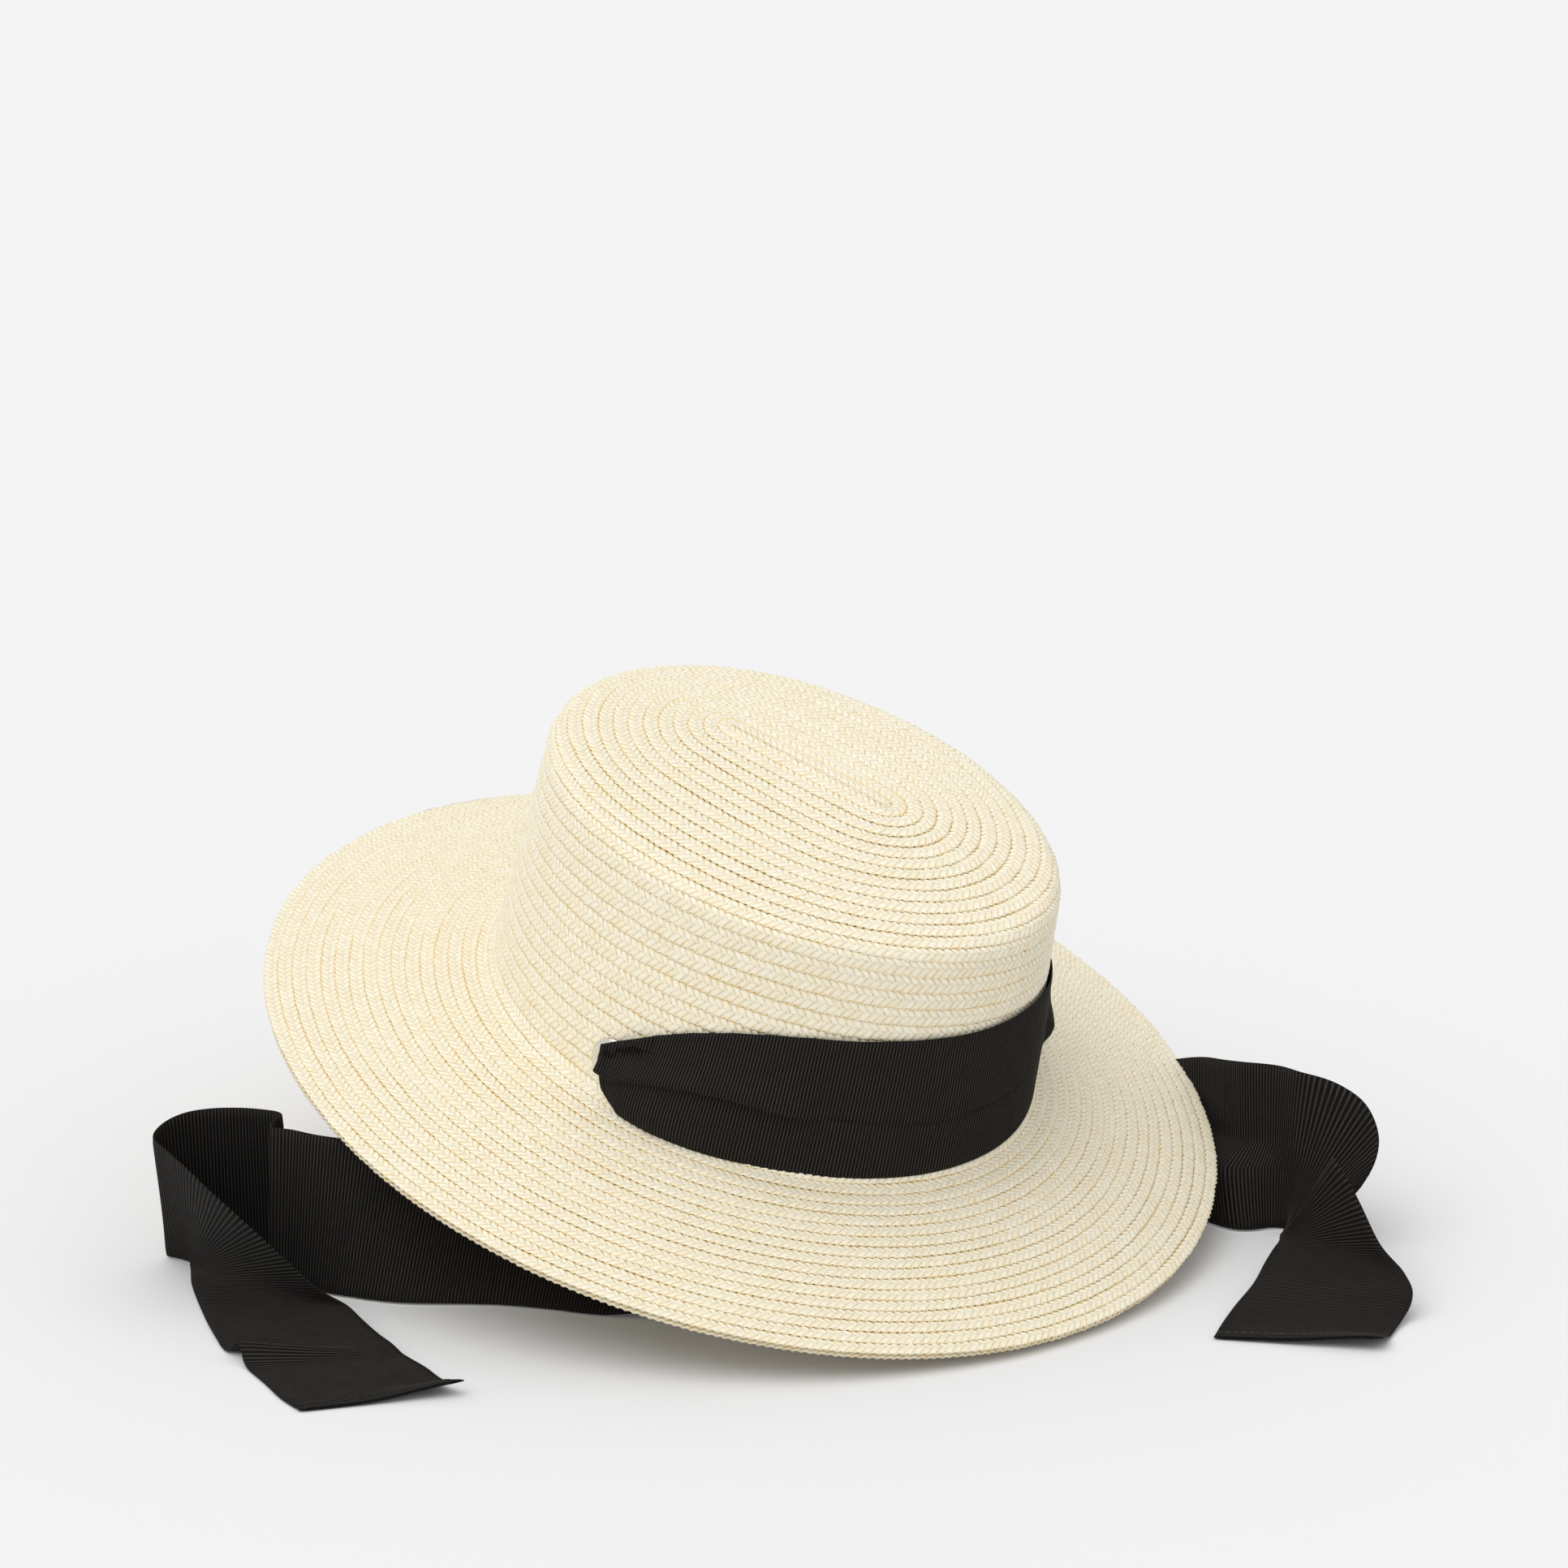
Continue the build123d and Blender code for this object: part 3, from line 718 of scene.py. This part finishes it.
# ---------------------------------------------------------------- materials
class Nodes:
    """Short calls for building a material's nodes."""

    def __init__(self, name):
        self.material = bpy.data.materials.new(name)
        self.material.use_nodes = True
        self.tree = self.material.node_tree
        self.shader = next(n for n in self.tree.nodes if n.type == "BSDF_PRINCIPLED")

    def node(self, kind, **values):
        n = self.tree.nodes.new(kind)
        for key, value in values.items():
            setattr(n, key, value)
        return n

    def put(self, socket, value):
        if isinstance(value, bpy.types.NodeSocket):
            self.tree.links.new(value, socket)
        else:
            socket.default_value = value

    def math(self, operation, a, b=0.0, c=0.0):
        n = self.node("ShaderNodeMath", operation=operation)
        for socket, value in zip(n.inputs, (a, b, c)):
            self.put(socket, value)
        return n.outputs[0]

    def add(self, a, b):
        return self.math("ADD", a, b)

    def times(self, a, b):
        return self.math("MULTIPLY", a, b)

    def line(self, value, slope, start):
        """value * slope + start"""
        return self.math("MULTIPLY_ADD", value, slope, start)

    def largest(self, a, b):
        return self.math("MAXIMUM", a, b)

    def waves(self, value, length):
        return self.math("COSINE", self.times(value, TAU / length))

    def attribute(self, name):
        return self.node("ShaderNodeAttribute", attribute_name=name).outputs["Fac"]

    def vector(self, x, y=0.0, z=0.0):
        n = self.node("ShaderNodeCombineXYZ")
        for socket, value in zip(n.inputs, (x, y, z)):
            self.put(socket, value)
        return n.outputs[0]

    def step(self, value, low, high):
        n = self.node("ShaderNodeMapRange", interpolation_type="SMOOTHSTEP")
        self.put(n.inputs["Value"], value)
        n.inputs["From Min"].default_value = low
        n.inputs["From Max"].default_value = high
        return n.outputs["Result"]

    def mix(self, share, a, b):
        """Colour a turned into colour b by a share; a plain colour is (red, green, blue)."""
        n = self.node("ShaderNodeMix", data_type="RGBA")
        for index, value in ((0, share), (6, a), (7, b)):
            self.put(n.inputs[index], (*value, 1.0) if isinstance(value, tuple) else value)
        return n.outputs[2]

    def noise(self, vector, scale, detail=2.0):
        n = self.node("ShaderNodeTexNoise")
        self.put(n.inputs["Vector"], vector)
        n.inputs["Scale"].default_value = scale
        n.inputs["Detail"].default_value = detail
        return n.outputs["Fac"]

    def chance(self, vector):
        n = self.node("ShaderNodeTexWhiteNoise", noise_dimensions="3D")
        self.put(n.inputs["Vector"], vector)
        return n.outputs["Value"]

    def place(self):
        return self.node("ShaderNodeTexCoord").outputs["Object"]

    def bump(self, height, strength, distance):
        n = self.node("ShaderNodeBump")
        self.put(n.inputs["Height"], height)
        n.inputs["Strength"].default_value = strength
        n.inputs["Distance"].default_value = distance
        self.put(self.shader.inputs["Normal"], n.outputs["Normal"])

    def finish(self, colour, rough, **plain):
        """Sets the shader; other inputs are given by name with _ for each space."""
        self.put(self.shader.inputs["Base Color"], colour)
        self.put(self.shader.inputs["Roughness"], rough)
        for key, value in plain.items():
            self.shader.inputs[key.replace("_", " ")].default_value = value
        return self.material


def straw_material():
    """Pale straws, each with its own tint, with painted shade in ochre in the gaps between them, in the
    seams and along each row's outer edge.
    """
    m = Nodes("straw")
    # The third colour below, ochre, is painted shade for the gaps, seams and outer row edges.
    pale, deep, painted_shade_ochre = (0.975, 0.915, 0.735), (0.92, 0.82, 0.57), (0.88, 0.60, 0.19)
    # The first colour below is a painted sheen, laid lighter on streaks along the fibres.
    painted_sheen, aged = (0.98, 0.955, 0.86), (0.92, 0.83, 0.61)
    along, across = m.attribute("along"), m.attribute("across")
    away = m.math("ABSOLUTE", across)
    half = m.math("GREATER_THAN", across, 0.0)
    q = m.add(m.line(away, SLANT, along), m.times(half, 0.5))
    cell = m.math("FLOOR", q)
    f = m.math("SUBTRACT", q, cell)
    side = m.math("ABSOLUTE", m.line(f, 2.0, -1.0))
    ridge = m.math("SUBTRACT", 1.0, m.math("POWER", side, 2.6))
    chance, tint = m.chance(m.vector(cell, half, 3.0)), m.chance(m.vector(cell, half, 7.0))
    fibre = m.noise(m.vector(m.times(f, 9.0), m.times(away, 1.2), m.times(cell, 3.7)), 1.6, 3.0)
    patch = m.noise(m.place(), 14.0)

    # Painted shade: ochre goes into the gaps between straws, into the seam under the row before, and along
    # each row's outer edge.
    painted_gap_shade = m.times(m.step(side, 0.55, 0.93), m.line(m.step(chance, 0.2, 0.9), 0.75, 0.25))
    painted_gap_shade = m.times(painted_gap_shade, m.line(m.step(away, 0.3, 0.9), 0.6, 0.4))
    after_start = m.step(along, 40.0, 60.0)
    painted_seam_shade = m.times(m.step(m.times(across, -1.0), 0.66, 0.76), after_start)
    painted_seam_shade = m.times(painted_seam_shade, m.line(side, 0.35, 0.6))
    painted_rim_shade = m.times(m.step(across, 0.93, 1.0), 0.25)
    dark = m.largest(m.times(painted_gap_shade, 0.85), m.largest(m.times(painted_seam_shade, 0.9), painted_rim_shade))

    colour = m.mix(m.times(tint, 0.6), pale, deep)
    # Painted sheen on random fibre streaks.
    colour = m.mix(m.times(m.step(fibre, 0.35, 0.75), 0.3), colour, painted_sheen)
    colour = m.mix(m.times(m.step(patch, 0.45, 0.75), 0.18), colour, aged)
    colour = m.mix(dark, colour, painted_shade_ochre)
    m.bump(m.add(m.times(ridge, 0.7), m.times(fibre, 0.3)), 0.7, 0.0005)
    return m.finish(colour, m.line(fibre, 0.25, 0.38), Specular_IOR_Level=0.35, Sheen_Weight=0.05)


def ribbon_material():
    """Black grosgrain: painted shade in the valleys between the ribs and a painted highlight on their
    crests, fine threads across them.
    """
    m = Nodes("ribbon")
    # The first colour below is painted shade in the ribs' valleys, the second a painted highlight on their
    # crests.
    painted_valley_shade, painted_crest_highlight = (0.0008, 0.0006, 0.0005), (0.051, 0.045, 0.039)
    dusty, faded = (0.016, 0.0135, 0.011), (0.010, 0.009, 0.009)
    along, across = m.attribute("along"), m.attribute("across")
    rib, thread = m.waves(along, RIB), m.waves(across, 0.42)
    cloth = m.noise(m.vector(m.times(along, 0.05), m.times(across, 0.05)), 3.0, 3.0)
    grain = m.noise(m.vector(along, m.times(across, 2.4)), 2.0)
    colour = m.mix(m.step(rib, -0.1, 1.0), painted_valley_shade, painted_crest_highlight)
    colour = m.mix(m.times(grain, 0.25), colour, dusty)
    colour = m.mix(m.times(m.step(cloth, 0.4, 0.7), 0.35), colour, faded)
    m.bump(m.add(m.times(rib, 0.5), m.times(thread, 0.22)), 0.8, 0.00025)
    return m.finish(colour, m.line(grain, 0.2, 0.7), Specular_IOR_Level=0.16)


def metal_material():
    m = Nodes("nickel")
    wear = m.noise(m.place(), 260.0, 3.0)
    colour = m.mix(wear, (0.80, 0.77, 0.72), (0.70, 0.66, 0.60))
    m.bump(m.noise(m.place(), 2600.0), 0.08, 0.0001)
    return m.finish(colour, m.line(wear, 0.16, 0.16), Metallic=1.0)


def tape_material():
    m = Nodes("cotton_tape")
    along, across = m.attribute("along"), m.attribute("across")
    twill = m.waves(m.add(along, across), 1.3)
    fine = m.noise(m.vector(along, across), 1.7, 3.0)
    colour = m.mix(m.line(twill, 0.25, 0.35), (0.76, 0.68, 0.53), (0.66, 0.57, 0.42))
    colour = m.mix(m.times(fine, 0.3), colour, (0.84, 0.79, 0.67))
    m.bump(m.add(m.times(twill, 0.5), fine), 0.5, 0.0003)
    return m.finish(colour, m.line(fine, 0.2, 0.7), Specular_IOR_Level=0.2)


def thread_material(name, light, dark):
    m = Nodes(name)
    twist = m.noise(m.place(), 3200.0)
    tone = m.noise(m.place(), 300.0, 1.0)
    colour = m.mix(m.line(tone, 0.5, 0.2), light, dark)
    m.bump(twist, 0.4, 0.0001)
    return m.finish(colour, m.line(twist, 0.2, 0.55))


straw = straw_material()
ribbon_look = ribbon_material()
nickel = metal_material()
tape = tape_material()
pale_thread = thread_material("pale_thread", (0.80, 0.74, 0.62), (0.62, 0.55, 0.42))
black_thread = thread_material("black_thread", (0.035, 0.033, 0.031), (0.012, 0.011, 0.011))


def place_piece(obj, material, node):
    """Gives a piece its look, attaches it to the root body and hides the CAD node it stands for."""
    obj.data.materials.append(material)
    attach(obj, "root")
    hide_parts(node)


# ---------------------------------------------------------------- the straw pieces
for name, first, last, node in (
    ("straw_tip", -1, WALL_FIRST, "crown_tip"),
    ("straw_wall_upper", WALL_FIRST, WALL_HALF, "crown_wall"),
    ("straw_wall_lower", WALL_HALF, BRIM_FIRST, "crown_wall"),
    ("straw_brim_inner", BRIM_FIRST, BRIM_HALF, "brim"),
    ("straw_brim_outer", BRIM_HALF, LAST, "brim"),
):
    piece = braid(name, first, last)
    if node == "crown_wall":
        cut_holes(piece)
    place_piece(piece, straw, node)
under_edge = braid("straw_edge_under", LAST - 1, LAST, edge_row=True)
place_piece(under_edge, straw, "brim_edge_braid")

# ---------------------------------------------------------------- the eyelets
# Outlines as (radius, height above the straw's face) in mm.
EYELET_PROFILE = [
    (5.25, -5.3), (5.2, -3.0), (4.9, -0.6), (4.85, 0.3), (5.2, 1.0), (5.9, 1.42), (6.9, 1.52),
    (7.7, 1.32), (8.25, 0.9), (8.48, 0.45), (8.45, 0.12), (8.1, -0.05), (7.0, 0.0), (6.2, -0.1),
    (5.95, -0.5), (5.95, -3.0), (5.95, -5.0), (6.3, -5.25), (6.6, -5.5), (6.1, -5.8), (5.5, -5.7),
]
WASHER_PROFILE = [(6.15, -4.0), (8.3, -4.0), (8.5, -4.25), (8.5, -4.8), (8.3, -5.0), (6.15, -5.0)]
for side, word in ((1, "left"), (-1, "right")):
    for name, profile, node in (
        ("eyelet_ring_" + word, EYELET_PROFILE, "eyelet_" + word),
        ("eyelet_back_" + word, WASHER_PROFILE, "eyelet_washer_" + word),
    ):
        place_piece(lathe(name, profile, *eyelet_frame(side)), nickel, node)

# ---------------------------------------------------------------- the sweatband
tape_piece, tape_length = sweatband("sweatband_tape")
cut_holes(tape_piece)
place_piece(tape_piece, tape, "sweatband")
place_piece(sweatband_stitches("sweatband_thread"), pale_thread, "sweatband_stitches")

# ---------------------------------------------------------------- the ribbon
front_band, band_length = band("ribbon_band_front")
place_piece(front_band, ribbon_look, "ribbon_band")
# Stations of a loose end: place of its low edge from the spot below the crown's middle, heading and
# climb of the line across it in degrees, and its width there; the first are inside the crown.
RIGHT_PATH = [
    (21, -64, 76, 180, 0, 14),
    (37, -58, 54, 170, 10, 28),
    (52, -69, 23, 150, 25, 42),
    (53, -87, 5, 135, 30, 50),
    (34, -105, 0, 125, 28, 55),
    (18, -114, 0, 125, 38, 55),
    (3, -124, 0, 125, 48, 55),
    (-21, -146, 0, 100, 72, 55),
    (-36, -154, 0, 60, 81, 55),
    (-50, -160, 0, 45, 85, 55),
    (-60, -163, 0, 60, 87, 55),
    (-64.5, -165.5, 0, 80, 88, 55),
    (-67, -163.5, 0, 90, 88, 55),
    (-70, -157, 0, -46, 89, 55),
    (-72, -152.5, 0, -46, 89, 55),
    (-75.5, -151.5, 0, -46, 89, 55),
    (-81, -152.5, 0, -46, 88, 55),
    (-88.5, -156, 0, -46, 87, 55),
    (-98, -162, 0, -46, 84, 55),
    (-105, -167, 0, -47, 79, 55),
    (-109.5, -171.5, 0, -46, 72, 55),
    (-109, -175, 0, -45, 67, 55),
    (-104, -174, 0, -43, 62, 55),
    (-99, -173.5, 0, -39, 57, 55),
    (-96.5, -175, 0, -24, 45, 55),
    (-92, -178, 0, -6, 27, 55),
    (-81, -186, 0, 12, 12, 55),
    (-62, -197, 0, 34, 5, 52),
    (-39, -209, 0, 44, 3, 53),
    (-27, -214, 0, 47, 3, 53.5),
    (-20, -214.5, 5, 47, -4, 53),
    (-13, -217.5, 0.5, 50, 1, 53),
    (3, -222, 0, 56, 2, 52),
    (16, -226, 0, 59, 2, 52),
    (28, -228, 0, 61, 2, 53),
]
LEFT_PATH = [
    (21, 62, 78, 180, 0, 14),
    (22, 49, 54, 165, 5, 28),
    (25, 45, 29, 150, 10, 42),
    (30, 57, 7, 140, 16, 50),
    (50, 78, 0, 134, 20, 55),
    (70, 98, 0, 134, 30, 55),
    (87, 111, 0, 134, 39, 55),
    (102, 116, 0, 134, 49, 55),
    (115, 114.5, 0, 134, 57, 55),
    (123, 115, 0, 136, 63, 55),
    (133.5, 118, 0, 131, 71, 55),
    (140, 117, 0, 105, 78, 55),
    (142, 113.5, 0, 72, 67, 55),
    (142, 112, 0, 58, 58, 54),
    (142, 111.5, 0, 48, 50, 50),
    (142.5, 111, 0, 36, 45, 45),
    (143, 110.5, 0, 31, 41, 39),
    (143.5, 110, 0, 26, 38, 32),
    (143.5, 109.5, 0, 7, 46, 34),
    (144, 109, 0, -18, 51, 52),
    (145, 107, 0, -15, 37, 54),
    (149, 100, 1, -8, 19, 55),
    (159, 84, 3, 8, 9, 55),
    (170, 65, 3, 24, 4, 55),
    (177, 48, 2, 36, 0, 56),
    (182, 36, 0.5, 38, 0, 56),
    (188, 25, 0, 35, 2, 55),
]
# The stretch of the left end with the lengthwise fold: from, to, and how far its low half is pushed.
LEFT_SHELF = (150, 243, 11)
for word, side, path, shelf in (("right", -1, RIGHT_PATH, None), ("left", 1, LEFT_PATH, LEFT_SHELF)):
    end, lines, length = tie("ribbon_end_" + word, side, path, shelf)
    thread = "hem_thread_" + word
    place_piece(end, ribbon_look, "tie_" + word)
    place_piece(hem_stitches(thread, lines), black_thread, "hem_stitches_" + word)

# ---------------------------------------------------------------- floor, light and camera
FLOOR, FLOOR_GAP = 9, 0.0002
floor_look = Nodes("floor").finish((0.825, 0.825, 0.83, 1.0), 0.9, Specular_IOR_Level=0.1)
floor_corners = [(-FLOOR, -FLOOR, 0), (FLOOR, -FLOOR, 0), (FLOOR, FLOOR, 0), (-FLOOR, FLOOR, 0)]
floor = new_object("floor", make_mesh("floor", floor_corners, [(0, 1, 2, 3)]))
floor.location.z = -FLOOR_GAP
floor.data.materials.append(floor_look)

scene = bpy.context.scene
scene.view_settings.view_transform = "Standard"
world = bpy.data.worlds.new("studio")
scene.world = world
world.use_nodes = True
sky = world.node_tree.nodes["Background"]
sky.inputs["Color"].default_value = (1.0, 1.0, 1.0, 1.0)
sky.inputs["Strength"].default_value = 0.80

CAMERA_TURN, CAMERA_RISE = math.radians(45.95), math.radians(16)
CAMERA_FROM_HAT = Vector((1.2446, -1.1924, 0.5763))
LENS, SENSOR = 121.118, 36

sun = bpy.data.objects.new("key", bpy.data.lights.new("key", "SUN"))
sun.data.energy = 1.05
sun.data.angle = math.radians(60)
sun.rotation_euler = (math.radians(28), 0, CAMERA_TURN - math.radians(50))
scene.collection.objects.link(sun)

camera = bpy.data.objects.new("camera", bpy.data.cameras.new("camera"))
scene.collection.objects.link(camera)
camera.location = Vector(centre) + CAMERA_FROM_HAT
camera.rotation_euler = (math.radians(90) - CAMERA_RISE, 0, CAMERA_TURN)
camera.data.lens = LENS
camera.data.sensor_width = SENSOR
camera.data.clip_start = 0.1
camera.data.clip_end = 50
scene.camera = camera
